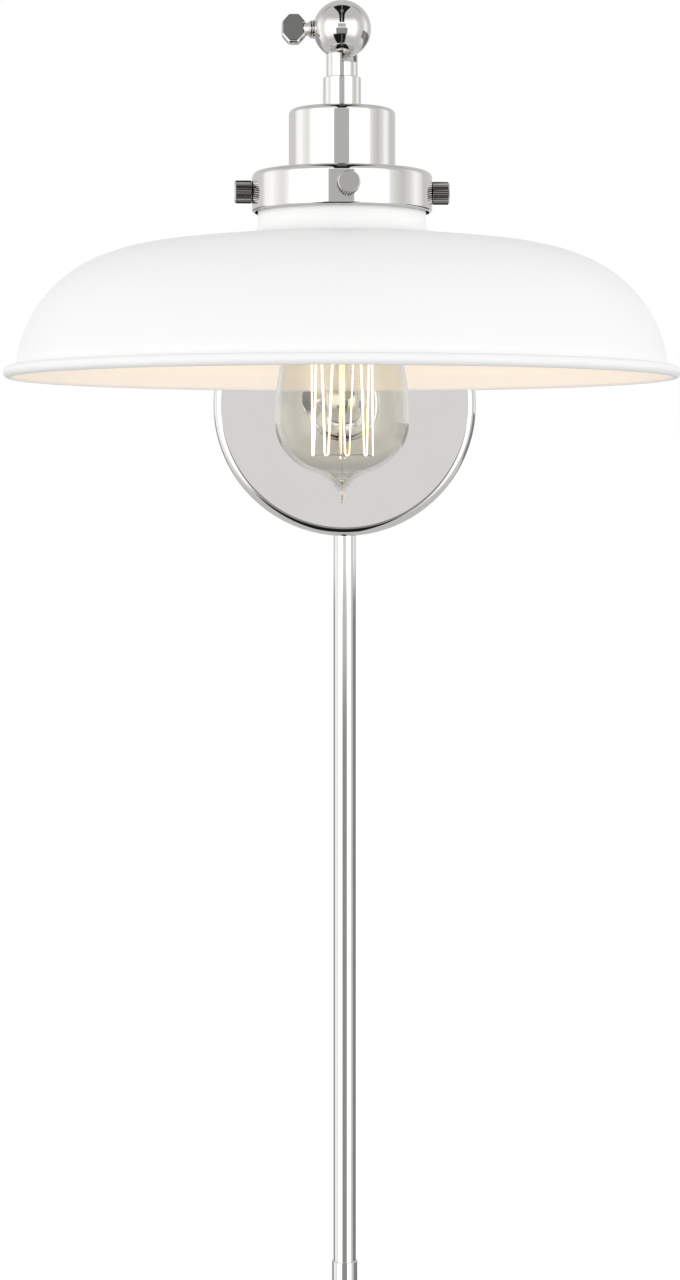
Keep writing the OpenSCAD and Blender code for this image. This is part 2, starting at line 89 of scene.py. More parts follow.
class Wire:
    """One socket of a shader tree. Sums and products of wires add their Math nodes."""

    def __init__(self, tree, socket=None):
        self.tree = tree
        self.socket = socket

    def node(self, kind, settings, sockets, output=0):
        made = self.tree.nodes.new(kind)
        for name, value in settings.items():
            if name == "stops":
                ramp = made.color_ramp
                while len(ramp.elements) < len(value):
                    ramp.elements.new(0.5)
                for element, (place, grey) in zip(ramp.elements, value):
                    element.position = place
                    element.color = (grey, grey, grey, 1)
            else:
                setattr(made, name, value)
        for name, value in sockets.items():
            if isinstance(value, Wire):
                self.tree.links.new(value.socket, made.inputs[name])
            else:
                made.inputs[name].default_value = value
        outputs = made.outputs
        return Wire(self.tree, outputs[output] if len(outputs) else None)

    def math(self, operation, *values):
        return self.node("ShaderNodeMath", {"operation": operation}, dict(enumerate(values)))

    def vector(self, operation, *values, output="Vector"):
        settings = {"operation": operation}
        return self.node("ShaderNodeVectorMath", settings, dict(enumerate(values)), output)

    def __add__(self, other):
        return self.math("ADD", self, other)

    def __radd__(self, other):
        return self.math("ADD", other, self)

    def __sub__(self, other):
        return self.math("SUBTRACT", self, other)

    def __rsub__(self, other):
        return self.math("SUBTRACT", other, self)

    def __mul__(self, other):
        return self.math("MULTIPLY", self, other)

    def __rmul__(self, other):
        return self.math("MULTIPLY", other, self)

    def step(self, low, high):
        """0 below low, 1 above high, and a smooth rise between them."""
        sockets = {"Value": self, "From Min": low, "From Max": high}
        return self.node("ShaderNodeMapRange", {"interpolation_type": "SMOOTHSTEP"}, sockets)


world = bpy.data.worlds.new("studio")
world.use_nodes = True
world.node_tree.nodes.clear()
bpy.context.scene.world = world
sky = Wire(world.node_tree)
direction = sky.node("ShaderNodeTexCoord", {}, {}, "Generated")
east = sky.node("ShaderNodeSeparateXYZ", {}, {"Vector": direction}, "X")
north = sky.node("ShaderNodeSeparateXYZ", {}, {"Vector": direction}, "Y")
up = sky.node("ShaderNodeSeparateXYZ", {}, {"Vector": direction}, "Z")
azimuth = sky.math("ARCTAN2", east, north * -1) * (180 / math.pi)
elevation = sky.math("ARCSINE", up) * (180 / math.pi)
# brightness of the ring of panels, by azimuth from the camera's side, positive to the right
panels = [
    (-180, 0.70), (-145, 0.68), (-132, 0.72), (-123, 0.72), (-114, 1.1), (-100, 1.2), (-93, 1.05),
    (-81, 0.90), (-72, 1.1), (-66, 1.6), (59, 1.6), (64, 0.95), (73, 0.76), (84, 0.64), (96, 0.8),
    (108, 1.12), (118, 0.95), (128, 0.65), (140, 0.66), (180, 0.70),
]
ring_scale = 2
ring = sky.node(
    "ShaderNodeValToRGB",
    {"stops": [(0.5 + a / 360, grey / ring_scale) for a, grey in panels]},
    {"Fac": azimuth * (1 / 360) + 0.5},
) * ring_scale
# above and below, the panels fade to grey walls
wall_light = 0.60
steep = sky.math("ABSOLUTE", elevation)
fade = steep.step(10, 42)
studio_light = ring * (1 - fade) + fade * wall_light
# the slot between the two front panels, lighter at the camera's own height than elsewhere
below = 1 - elevation.step(-2.4, -1.2)
slot = 1 - (sky.math("ABSOLUTE", azimuth + 0.5) - below * 7).step(15, 18)
slot = slot * elevation.step(-30, -24) * (1 - elevation.step(13, 17))
slot_light = 0.80 - steep.step(2.5, 5) * 0.29 - below * 0.2
studio_light = studio_light * (1 - slot) + slot_light * slot
# a black cloth hangs above the slot and widens over the ceiling; a grey card lies in it
over = sky.math("ARCTAN2", up, north * -1) * (180 / math.pi)
aside = sky.math("ABSOLUTE", sky.math("ARCSINE", east) * (180 / math.pi))
cloth = 1 - (aside - over.step(45, 96) * 11).step(8, 10.5)
cloth = cloth * over.step(17, 21) * (1 - over.step(98, 106))
card = (1 - aside.step(3, 6)) * (1 - sky.math("ABSOLUTE", over - 69).step(5, 9))
studio_light = studio_light * (1 - cloth) + cloth * (card * 0.19 + 0.012)
# a dark rail behind the ceiling, and a dark corner low in front
rail = north.step(0.27, 0.31) * (1 - north.step(0.42, 0.47)) * elevation.step(20, 30)
rail = rail * aside.step(18, 24) * (1 - aside.step(36, 44))
corner = 1 - sky.math("ABSOLUTE", azimuth + 10).step(26, 31)
corner = corner * (1 - elevation.step(-27, -22)) * elevation.step(-74, -66)
studio_light = studio_light * (1 - rail * 0.3) * (1 - corner * 0.98)
# the wall's lower corners on both sides are darker
low_band = below * elevation.step(-26, -19)
right_corner = azimuth.step(88, 95) * (1 - azimuth.step(150, 160)) * low_band
left_corner = (azimuth * -1).step(112, 120) * (1 - (azimuth * -1).step(165, 175)) * low_band
studio_light = studio_light * (1 - right_corner * 0.72) * (1 - left_corner * 0.5)
# only reflections see the studio; the rest is lit from all round, far less from above and below
path = sky.node("ShaderNodeLightPath", {}, {}, "Is Glossy Ray")
seen = sky.node("ShaderNodeLightPath", {}, {}, "Is Camera Ray")
through = sky.node("ShaderNodeLightPath", {}, {}, "Is Transmission Ray")
plain = sky.math("MAXIMUM", seen, through)
even_light = 1.62 - (1 - elevation.step(-40, 5)) * 1.42 - elevation.step(25, 65) * 1.36
unlit = even_light * (1 - plain) + plain
brightness = studio_light * path + unlit * (1 - path)
backdrop = sky.node("ShaderNodeBackground", {}, {"Color": (1, 1, 1, 1), "Strength": brightness})
sky.node("ShaderNodeOutputWorld", {}, {"Surface": backdrop})


class Finish(Wire):
    """A material with a Principled shader; what varies over it is made from wires."""

    def __init__(self, name, **constants):
        self.material = bpy.data.materials.new(name)
        self.material.use_nodes = True
        super().__init__(self.material.node_tree)
        self.shader = self.tree.nodes["Principled BSDF"]
        self.set(**constants)
        self.place = self.node("ShaderNodeTexCoord", {}, {}, "Object")

    def set(self, **values):
        """Sockets by name, with _ for a space; a wire is linked and the rest is a constant."""
        for name, value in values.items():
            socket = self.shader.inputs[name.replace("_", " ")]
            if isinstance(value, Wire):
                self.tree.links.new(value.socket, socket)
            else:
                socket.default_value = value

    def noise(self, scale, detail=2.0):
        sockets = {"Vector": self.place, "Scale": scale, "Detail": detail}
        return self.node("ShaderNodeTexNoise", {}, sockets, "Fac")

    def mix(self, share, first, second):
        """first where share is 0 and second where it is 1."""
        made = self.node("ShaderNodeMix", {"data_type": "RGBA"}, {})
        node = made.socket.node
        for socket, value in (
            (node.inputs[0], share), (node.inputs[6], first), (node.inputs[7], second)
        ):
            if isinstance(value, Wire):
                self.tree.links.new(value.socket, socket)
            else:
                socket.default_value = value
        return Wire(self.tree, node.outputs[2])

    def relief(self, height, depth, strength):
        """Raise the surface by height times depth, in metres, in its shading."""
        sockets = {"Height": height, "Distance": depth, "Strength": strength}
        self.set(Normal=self.node("ShaderNodeBump", {}, sockets))


def coat(piece, finish):
    """Give a piece or a CAD node one finish all over."""
    piece.data.materials.clear()
    piece.data.materials.append(finish.material)


floor_paint = Finish("floor_paint", Roughness=0.7)
speckle = floor_paint.noise(9, 4)
floor_paint.set(Base_Color=floor_paint.mix(speckle, (0.86, 0.86, 0.85, 1), (0.9, 0.9, 0.89, 1)))
bpy.ops.mesh.primitive_circle_add(
    vertices=96, radius=floor_radius, fill_type="NGON", location=(0, cad_low.y / 2, floor_high)
)
floor = bpy.context.active_object
floor.name = "floor"
coat(floor, floor_paint)
floor.visible_glossy = False


# ---------------------------------------------------------------- steel fixings
# The crossbar and its washer, the nut and clamp ring in the lamp head, the hinge pin and the
# cord cover's wall strips are steel, zinc plated: blue-grey, with a faint patchy bloom.

zinc = Finish("zinc_plate", Metallic=1.0)
bloom = zinc.noise(240, 3)
zinc.set(
    Base_Color=zinc.mix(bloom, (0.52, 0.54, 0.55, 1), (0.70, 0.71, 0.72, 1)),
    Roughness=zinc.noise(600, 2) * 0.16 + 0.26,
)
zinc.relief(zinc.noise(1800), 0.00002, 0.4)
for name in (
    "mounting_bracket", "nipple_washer", "stem_nut", "holder_ring", "tube_studs", "swing_pin"
):
    coat(frame["nodes"][name], zinc)

# the earth screw is the same steel, lacquered green
green = Finish("green_lacquer", Metallic=0.6, Roughness=0.35, Coat_Weight=0.5)
green.set(Base_Color=green.mix(green.noise(900, 3), (0.02, 0.22, 0.06, 1), (0.05, 0.33, 0.10, 1)))
coat(frame["nodes"]["ground_screw"], green)


# ---------------------------------------------------------------- wall plate
# Spun from 1.2 mm sheet with a rounded edge, nickel plated and polished. Its edge stands on
# the wall, with a notch below for the cord cover, and the hub's nipple holds it on.

nickel = Finish("polished_nickel", Metallic=1.0)
handling = nickel.noise(38, 4)
nickel.set(
    Base_Color=nickel.mix(handling, (0.80, 0.79, 0.765, 1), (0.83, 0.82, 0.80, 1)),
    Roughness=nickel.noise(90, 5).step(0.42, 0.75) * 0.045 + 0.025,
)
nickel.relief(nickel.noise(2600, 3), 0.000001, 0.35)


def arc(middle, radius, start, end, steps=8):
    """Points round middle from one angle to another, in degrees, as (out, up) pairs."""
    turns = [math.radians(start + (end - start) * i / steps) for i in range(steps + 1)]
    return [(middle[0] + radius * math.cos(a), middle[1] + radius * math.sin(a)) for a in turns]


def turned(name, outline, steps=128):
    """Spin an outline of (out, up) points once round Z. It closes on itself or on the axis."""
    bpy.ops.mesh.primitive_plane_add(size=0.001)
    piece = bpy.context.active_object
    piece.name = piece.data.name = name
    bpy.ops.object.mode_set(mode="EDIT")
    bpy.ops.mesh.merge(type="CENTER")
    bpy.ops.transform.translate(value=(outline[0][0], 0, outline[0][1]))
    on_axis = outline[0][0] == 0 and outline[-1][0] == 0
    path = outline if on_axis else outline + outline[:1]
    for here, there in zip(path, path[1:]):
        bpy.ops.mesh.extrude_region_move(
            TRANSFORM_OT_translate={"value": (there[0] - here[0], 0, there[1] - here[1])}
        )
    bpy.ops.mesh.select_all(action="SELECT")
    bpy.ops.mesh.spin(steps=steps, angle=math.tau, center=(0, 0, 0), axis=(0, 0, 1))
    bpy.ops.mesh.select_all(action="SELECT")
    bpy.ops.mesh.remove_doubles(threshold=1e-6)
    bpy.ops.mesh.delete_loose(use_verts=True, use_edges=True, use_faces=False)
    bpy.ops.mesh.normals_make_consistent(inside=False)
    bpy.ops.object.mode_set(mode="OBJECT")
    return piece


def only(piece):
    bpy.ops.object.select_all(action="DESELECT")
    piece.select_set(True)
    bpy.context.view_layer.objects.active = piece


def apply_modifier(piece, kind, **settings):
    only(piece)
    modifier = piece.modifiers.new(kind.lower(), kind)
    for name, value in settings.items():
        setattr(modifier, name, value)
    bpy.ops.object.modifier_apply(modifier=modifier.name)


def carve(piece, tool, operation="DIFFERENCE"):
    """Cut a piece with a tool, or join the two; the tool is used up."""
    apply_modifier(piece, "BOOLEAN", object=tool, operation=operation, solver="EXACT")
    bpy.data.objects.remove(tool)


def settle(piece, placing):
    """Write a piece's place into its mesh."""
    only(piece)
    piece.matrix_world = placing
    bpy.ops.object.transform_apply(location=True, rotation=True, scale=True)


def stand(piece, at=(0, 0, 0), tilt=0.0):
    """Tilt a piece about X and move it."""
    settle(piece, Matrix.Translation(at) @ Matrix.Rotation(math.radians(tilt), 4, "X"))


def smooth(piece, ease=0.0, angle=38):
    """Ease the sharp edges, then shade it smooth with flat faces kept flat."""
    if ease:
        apply_modifier(piece, "BEVEL", width=ease, segments=2, limit_method="ANGLE",
                       angle_limit=math.radians(angle), harden_normals=False)
    only(piece)
    bpy.ops.object.shade_smooth_by_angle(angle=math.radians(angle))
    apply_modifier(piece, "WEIGHTED_NORMAL", keep_sharp=True)


def box_tool(low, high):
    """A plain block between two corners, to cut or join with."""
    low, high = Vector(low), Vector(high)
    bpy.ops.mesh.primitive_cube_add(size=1, location=(low + high) / 2)
    block = bpy.context.active_object
    block.scale = high - low
    bpy.ops.object.transform_apply(location=True, rotation=True, scale=True)
    return block


def rod(radius, depth, at, sides, rotation=(0, 0, 0)):
    """A plain round bar about a middle, to drill or join with."""
    bpy.ops.mesh.primitive_cylinder_add(
        vertices=sides, radius=radius, depth=depth, location=at, rotation=rotation)
    return bpy.context.active_object


def finished(piece, finish, body, slot, *nodes):
    """Coat a piece, hang it on its body and let it stand for its CAD nodes."""
    coat(piece, finish)
    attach(piece, body)
    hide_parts(*nodes)


OUT = 90  # the tilt that turns a piece's Z away from the wall
sheet = 0.0012
plate_low, plate_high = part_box("backplate")
plate_r = plate_high.x
plate_face = -plate_low.y
plate_edge = 0.005
hub_low, hub_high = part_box("hub")
nipple_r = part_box("hub_nipple")[1].x
tube_low, tube_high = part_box("cord_tube")
tube_r = (tube_high.x - tube_low.x) / 2
tube_y = (tube_high.y + tube_low.y) / 2

plate = turned("wall_plate", [
    (nipple_r + 0.0002, plate_face), (nipple_r + 0.0002, plate_face - sheet),
    *arc((plate_r - plate_edge, plate_face - plate_edge), plate_edge - sheet, 90, 0, 12),
    (plate_r - sheet, 0.0003), (plate_r - sheet + 0.0003, 0), (plate_r - 0.0003, 0), (plate_r, 0.0003),
    *arc((plate_r - plate_edge, plate_face - plate_edge), plate_edge, 0, 90, 20),
], 192)
stand(plate, tilt=OUT)
notch_r = tube_r + 0.0003
notch_deep = 0.006
carve(plate, rod(notch_r, notch_deep * 2, (0, tube_y, -plate_r), 64))
carve(plate, box_tool((-notch_r, tube_y, -plate_r - notch_deep), (notch_r, 0.001, -plate_r + notch_deep)))
smooth(plate)
finished(plate, nickel, "wall", "polished_nickel", "backplate")


# ---------------------------------------------------------------- hub
# A solid turned boss screwed up against the plate by the hollow nipple, with a large round
# on its front edge and a fine turned groove where it meets the plate.

hub_r = hub_high.x
hub_face = -hub_low.y
hub_edge = 0.004
hub = turned("hub_turned", [
    (nipple_r, plate_face), (hub_r - 0.0012, plate_face), (hub_r - 0.0012, plate_face + 0.0008),
    (hub_r - 0.0003, plate_face + 0.0008), (hub_r, plate_face + 0.0011),
    *arc((hub_r - hub_edge, hub_face - hub_edge), hub_edge, 0, 90, 16),
    (nipple_r, hub_face),
], 144)
stand(hub, tilt=OUT)
smooth(hub)
finished(hub, nickel, "wall", "polished_nickel", "hub")


# ---------------------------------------------------------------- brass inside
# The nipples, the hexagon nut, the hinge bush, the lampholder's shell and contact and the
# lamp's screw base are plain brass, a little dull from handling.

brass = Finish("plain_brass", Metallic=1.0)
tarnish = brass.noise(160, 4)
brass.set(
    Base_Color=brass.mix(tarnish, (0.72, 0.50, 0.20, 1), (0.82, 0.62, 0.32, 1)),
    Roughness=tarnish * 0.2 + 0.16,
)
brass.relief(brass.noise(2200), 0.00001, 0.3)
for name in ("nipple_nut", "tongue_bush", "lampholder_contact"):
    coat(frame["nodes"][name], brass)

thread_pitch = 0.001


def threaded_tube(name, out_r, in_r, low, high):
    """A hollow nipple: its outside is cut with fine rings that stand for the thread."""
    crests = int((high - low) / thread_pitch)
    side = []
    for i in range(crests):
        z = low + i * thread_pitch
        side += [(out_r - 0.0004, z), (out_r, z + thread_pitch / 2)]
    return turned(name, side + [(out_r - 0.0004, high), (in_r, high), (in_r, low)], 48)


nipple_low, nipple_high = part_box("hub_nipple")
nipple_in = 0.0035
crest_r = nipple_r - 0.00005
nipple = threaded_tube("hub_nipple_thread", crest_r, nipple_in, -nipple_high.y, -nipple_low.y)
stand(nipple, tilt=OUT)
smooth(nipple)
finished(nipple, brass, "wall", "brass", "hub_nipple")


# ---------------------------------------------------------------- wires inside the plate
# Two leads come through the nipple, one with black and one with white insulation, and end in
# ribbed twist-on connectors that lie beside the crossbar.

def insulation(name, across, middle):
    """Soft plastic, black on one side of a plane and white on the other."""
    made = Finish(name, Roughness=0.42)
    side = made.vector("DOT_PRODUCT", made.place, across, output="Value")
    black_side = made.math("GREATER_THAN", side, Vector(across).dot(Vector(middle)))
    scuff = made.noise(700) * 0.06
    made.set(Base_Color=made.mix(black_side, (0.80, 0.79, 0.76, 1), (0.016, 0.016, 0.017, 1)),
             Roughness=scuff + 0.38)
    made.relief(made.noise(1500), 0.00003, 0.3)
    return made


coat(frame["nodes"]["hub_leads"], insulation("hub_lead_insulation", (1, 0, 0), (0, 0, 0)))

connector_plastic = Finish("connector_plastic", Roughness=0.38)
connector_plastic.set(Base_Color=connector_plastic.mix(
    connector_plastic.noise(300), (0.72, 0.66, 0.52, 1), (0.82, 0.77, 0.65, 1)))
connector_plastic.relief(connector_plastic.noise(1600), 0.00004, 0.4)

ribs = 12
connector_low, connector_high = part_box("wire_connectors")
connector_x = 0.019
connector_lean = 70
connector_middle = (connector_low + connector_high) / 2
for side, label in ((-1, "left"), (1, "right")):
    cap = turned("wire_connector_" + label, [
        (0, -0.010), (0.0032, -0.010), (0.0038, -0.0088), (0.0041, -0.0075), (0.005, 0.007),
        (0.0062, 0.008), (0.0062, 0.0095), (0.0058, 0.010), (0.0044, 0.010), (0.0038, -0.006),
        (0, -0.006),
    ], ribs * 4)
    bpy.ops.object.mode_set(mode="EDIT")
    bpy.ops.mesh.select_all(action="DESELECT")
    bpy.ops.object.mode_set(mode="OBJECT")
    for face in cap.data.polygons:
        middle = face.center
        around = math.degrees(math.atan2(middle.y, middle.x)) % (360 / ribs)
        outside = face.normal.x * middle.x + face.normal.y * middle.y > 0
        face.select = outside and -0.007 < middle.z < 0.006 and around < 180 / ribs
    bpy.ops.object.mode_set(mode="EDIT")
    bpy.ops.mesh.extrude_region_shrink_fatten(TRANSFORM_OT_shrink_fatten={"value": -0.0005})
    bpy.ops.mesh.select_all(action="DESELECT")
    bpy.ops.object.mode_set(mode="OBJECT")
    cap_middle = (side * connector_x, connector_middle.y, connector_middle.z)
    leaning = Matrix.Rotation(math.radians(side * connector_lean), 4, "Y")
    settle(cap, Matrix.Translation(cap_middle) @ leaning)
    smooth(cap)
    coat(cap, connector_plastic)
    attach(cap, "wall")
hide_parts("wire_connectors")


# ---------------------------------------------------------------- cord cover
# A thin nickel-plated tube that hooks on two studs with keyholes in its back and hides the
# cord on its way down the wall. A turned ring with a black bush ends it.

bush_low, bush_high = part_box("ferrule_bush")
ferrule_low, ferrule_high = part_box("tube_ferrule")
ferrule_r = ferrule_high.x
studs_low, studs_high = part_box("tube_studs")
stud_heights = (studs_high.z - 0.018, studs_low.z + 0.008)
tube_wall = 0.001
keyhole_r = 0.0035
slot_r = 0.0022
slot_length = 0.009

cover = turned("cord_cover", [
    (tube_r, tube_low.z), (tube_r, tube_high.z - 0.0003), (tube_r - 0.0003, tube_high.z),
    (tube_r - tube_wall, tube_high.z), (tube_r - tube_wall, tube_low.z),
], 96)
stand(cover, (0, tube_y, 0))
for height in stud_heights:
    carve(cover, box_tool((-slot_r, tube_y, height - slot_length), (slot_r, 0.002, height)))
    for drop, hole_r in ((slot_length, keyhole_r), (0, slot_r)):
        carve(cover, rod(hole_r, 0.01, (0, tube_y + 0.005, height - drop), 32, (math.pi / 2, 0, 0)))
smooth(cover)
finished(cover, nickel, "wall", "polished_nickel", "cord_tube")

ferrule_step = ferrule_high.z - 0.004
ferrule = turned("cover_ferrule", [
    (tube_r + 0.00002, ferrule_high.z), (tube_r + 0.00002, ferrule_step),
    (ferrule_r - 0.0018, ferrule_step),
    (ferrule_r - 0.0018, ferrule_low.z + 0.0004), (ferrule_r - 0.0014, ferrule_low.z),
    *arc((ferrule_r - 0.001, ferrule_low.z + 0.001), 0.001, -90, 0, 6),
    *arc((ferrule_r - 0.0004, ferrule_high.z - 0.0004), 0.0004, 0, 90, 5),
], 96)
stand(ferrule, (0, tube_y, 0))
smooth(ferrule)
finished(ferrule, nickel, "wall", "polished_nickel", "tube_ferrule")

black = Finish("black_moulding", Roughness=0.4)
black.set(Base_Color=black.mix(black.noise(400), (0.012, 0.012, 0.013, 1), (0.022, 0.022, 0.023, 1)))
black.relief(black.noise(2400), 0.00004, 0.5)
coat(frame["nodes"]["tongue_washers"], black)
bush_r = bush_high.x
bush = turned("cord_bush", [
    (bush_r, bush_low.z + 0.0002), (bush_r, bush_high.z), (0.004, bush_high.z),
    *arc((0.0048, bush_low.z + 0.0008), 0.0008, 180, 270, 6), (bush_r - 0.0002, bush_low.z),
], 64)
stand(bush, (0, tube_y, 0))
smooth(bush)
finished(bush, black, "wall", "black_plastic", "ferrule_bush")


# ---------------------------------------------------------------- swing hinge
# A fork on the hub and a barrel between its two ears, held by an upright pin with a domed nut
# at each end. Fork and barrel are milled from solid, with the edges eased before plating.

swing = Vector(next(j["pos_m"] for j in frame["joints"] if j["name"] == "arm_swing"))
yoke_low, yoke_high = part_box("swing_yoke")
ear_in = 0.0076
ear_r = yoke_high.x
yoke_back = hub_face + 0.003
yoke_wall = 0.005
yoke_round = 0.016
yoke_neck_r = 0.010
yoke_bore = 0.0035
pin_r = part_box("swing_pin")[1].x

yoke = box_tool((-ear_r, swing.y, yoke_low.z), (ear_r, -yoke_back, yoke_high.z))
pin_middle = (0, swing.y, 0)
carve(yoke, rod(ear_r, yoke_high.z - yoke_low.z, pin_middle, 96), "UNION")
carve(yoke, rod(yoke_round, 0.06, pin_middle, 128, (math.pi / 2, 0, 0)), "INTERSECT")
carve(yoke, box_tool((-0.02, swing.y - 0.02, -ear_in), (0.02, -yoke_back - yoke_wall, ear_in)))
carve(yoke, rod(pin_r, 0.04, pin_middle, 48))
yoke_neck = turned("yoke_neck", [
    (yoke_bore, hub_face), (yoke_neck_r, hub_face),
    (yoke_neck_r, yoke_back + 0.001), (yoke_bore, yoke_back + 0.001),
], 96)
stand(yoke_neck, tilt=OUT)
carve(yoke, yoke_neck, "UNION")
yoke.name = yoke.data.name = "swing_fork"
smooth(yoke, ease=0.0004)
finished(yoke, nickel, "wall", "polished_nickel", "swing_yoke")

for side, label in ((0, "top"), (180, "bottom")):
    nut = turned("cap_nut_" + label, [
        (pin_r, 0), (0.0059, 0), (0.0062, 0.0003), (0.0062, 0.0018),
        *arc((0, 0.0019), 0.0056, 0, 90, 12),
        (0, 0.0045), (pin_r, 0.0035),
    ], 64)
    stand(nut, (swing.x, swing.y, yoke_high.z if side == 0 else yoke_low.z), tilt=side)
    smooth(nut)
    coat(nut, nickel)
    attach(nut, "wall")
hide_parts("pin_cap_nuts")

lower = Vector(next(j["pos_m"] for j in frame["joints"] if j["name"] == "arm_tilt"))
upper = Vector(next(j["pos_m"] for j in frame["joints"] if j["name"] == "shade_tilt"))
barrel_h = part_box("swing_tongue")[1].z
barrel_bore = 0.004
boss_r = 0.00675
neck_end = 0.022
barrel = turned("hinge_barrel", [
    (barrel_bore, -barrel_h), (ear_r - 0.0005, -barrel_h), (ear_r, -barrel_h + 0.0005),
    (ear_r, barrel_h - 0.0005), (ear_r - 0.0005, barrel_h), (barrel_bore, barrel_h),
], 96)
stand(barrel, swing)
boss_end = swing.y - lower.y - neck_end
boss = turned("barrel_boss", [(0, 0.006), (boss_r, 0.006), (boss_r, boss_end), (0, boss_end)], 64)
stand(boss, swing, tilt=OUT)
carve(barrel, boss, "UNION")
carve(barrel, rod(barrel_bore, 0.03, swing, 64))
smooth(barrel, ease=0.0002)
finished(barrel, nickel, "knuckle", "polished_nickel", "swing_tongue")


# ---------------------------------------------------------------- ball swivels
# Each swivel is a ball cut in two by an upright seam: one half belongs to each tube, and a
# paddle screw through the middle clamps them. Below its half each ball has a round neck.

ball_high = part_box("head_ball_half")[1]
ball_r = ball_high.z - upper.z
ball_neck_r = 0.0071
full_neck = 0.0151
seam = 0.0001
seam_ease = 0.0008
pole = ball_r - 0.00085
pivot_r = 0.0025


def ball_half(name, side, length):
    """Half a ball on one side of X = 0, with its neck along +Z."""
    meet = math.degrees(math.asin(ball_neck_r / ball_r))
    root_high = ball_r * math.cos(math.radians(meet)) + 0.0006
    half = turned(name, [
        *arc((0, 0), ball_r, -90, 90 - meet - 1.5, 56),
        *arc((ball_neck_r + 0.0005, root_high), 0.0005, 215, 180, 3),
        (ball_neck_r, full_neck + 0.001), (0, full_neck + 0.001),
    ], 144)
    far = 0.03
    edge = seam / 2
    other = sorted((-side * far, side * edge))
    carve(half, box_tool((other[0], -far, -far), (other[1], far, far)))
    if side < 0:
        carve(half, rod(pivot_r, 0.03, (-0.015, 0, 0), 48, (0, math.pi / 2, 0)))
        carve(half, box_tool((-pole - 0.01, -0.01, -0.01), (-pole, 0.01, 0.01)))
    apply_modifier(half, "BEVEL", width=seam_ease, segments=3, limit_method="ANGLE",
                   angle_limit=math.radians(50))
    neck = turned("neck", [
        (0, full_neck), (ball_neck_r - 0.0006, full_neck),
        *arc((ball_neck_r - 0.0006, full_neck + 0.0006), 0.0006, -90, 0, 5),
        (ball_neck_r, length - 0.0003), (ball_neck_r - 0.0003, length), (0, length),
    ], 144)
    carve(half, neck, "UNION")
    half.name = half.data.name = name
    return half


paddle_turn = -30
octagon = 1.083  # from across the flats to across the corners


def paddle_screw(name, at):
    """Thumb screw along -X: collar, waist and a flat eight-sided paddle with eased edges."""
    far = 0.0274
    long = 0.0112
    wide = 0.0164
    thick = 0.0035
    near = pole + 0.00105
    root = far - long
    shank = turned(name, [
        (0, -0.0085), (pivot_r - 0.0004, -0.0085), (pivot_r, -0.0081), (pivot_r, near),
        (0.0038, near), (0.0041, near + 0.0003), (0.0041, near + 0.0008), (0.0036, near + 0.0013),
        *arc((0.0042, near + 0.0026), 0.0013, 250, 180, 5), (0.0029, root - 0.0006),
        (0.0034, root + 0.0006), (0.0034, root + 0.0014), (0, root + 0.0014),
    ], 72)
    settle(shank, Matrix.Rotation(math.radians(-90), 4, "Y"))
    bpy.ops.mesh.primitive_circle_add(vertices=8, radius=0.5, fill_type="NGON")
    paddle = bpy.context.active_object
    bpy.ops.object.mode_set(mode="EDIT")
    bpy.ops.transform.rotate(value=math.radians(22.5), orient_axis="Z", center_override=(0, 0, 0))
    bpy.ops.transform.resize(value=(long * octagon, wide * octagon, 1), center_override=(0, 0, 0))
    bpy.ops.transform.translate(value=(-far + long / 2, 0, -thick / 2))
    bpy.ops.mesh.extrude_region_move(TRANSFORM_OT_translate={"value": (0, 0, thick)})
    bpy.ops.mesh.select_all(action="SELECT")
    bpy.ops.mesh.normals_make_consistent(inside=False)
    bpy.ops.object.mode_set(mode="OBJECT")
    apply_modifier(paddle, "BEVEL", width=0.0011, segments=3, limit_method="ANGLE",
                   angle_limit=math.radians(30), affect="EDGES")
    settle(paddle, Matrix.Rotation(math.radians(90 + paddle_turn), 4, "X"))
    carve(shank, paddle, "UNION")
    shank.name = shank.data.name = name
    stand(shank, at)
    smooth(shank, angle=30)
    return shank


reach = upper - lower
lean = math.degrees(math.atan2(-reach.y, reach.z))
arm_upper_neck = 0.044

for name, side, length, at, tilt, body, node in (
    ("lower_ball_left", -1, neck_end, lower, -90, "knuckle", "wall_ball_half"),
    ("lower_ball_right", 1, neck_end, lower, lean, "arm", "arm_lower_ball_half"),
    ("upper_ball_right", 1, arm_upper_neck, upper, lean + 180, "arm", "arm_upper_ball_half"),
    ("upper_ball_left", -1, neck_end, upper, 180, "head", "head_ball_half"),
):
    half = ball_half(name, side, length)
    stand(half, at, tilt)
    smooth(half, angle=40)
    finished(half, nickel, body, "polished_nickel", node)

for name, at, screw_body, screw_node, washer_body, washer_node in (
    ("lower_paddle_screw", lower, "wall_screw", "wall_swivel_screw", "knuckle", "wall_ball_washer"),
    ("upper_paddle_screw", upper, "head_screw", "head_swivel_screw", "head", "head_ball_washer"),
):
    finished(paddle_screw(name, at), nickel, screw_body, "polished_nickel", screw_node)
    washer = turned(washer_node + "_ring", [
        (0.0026, pole), (0.0041, pole), (0.0043, pole + 0.0002), (0.0043, pole + 0.0008),
        (0.0041, pole + 0.001), (0.0026, pole + 0.001),
    ], 64)
    settle(washer, Matrix.Translation(at) @ Matrix.Rotation(math.radians(-90), 4, "Y"))
    smooth(washer)
    finished(washer, nickel, washer_body, "polished_nickel", washer_node)


# ---------------------------------------------------------------- arm
# Straight 12.7 mm tube between the two swivels, soldered into a turned collar at each end,
# with the two leads inside it.

arm_r = 0.00635
arm_wall = 0.001
arm_length = reach.length
arm_collar_r = 0.00858
collar_length = 0.0144

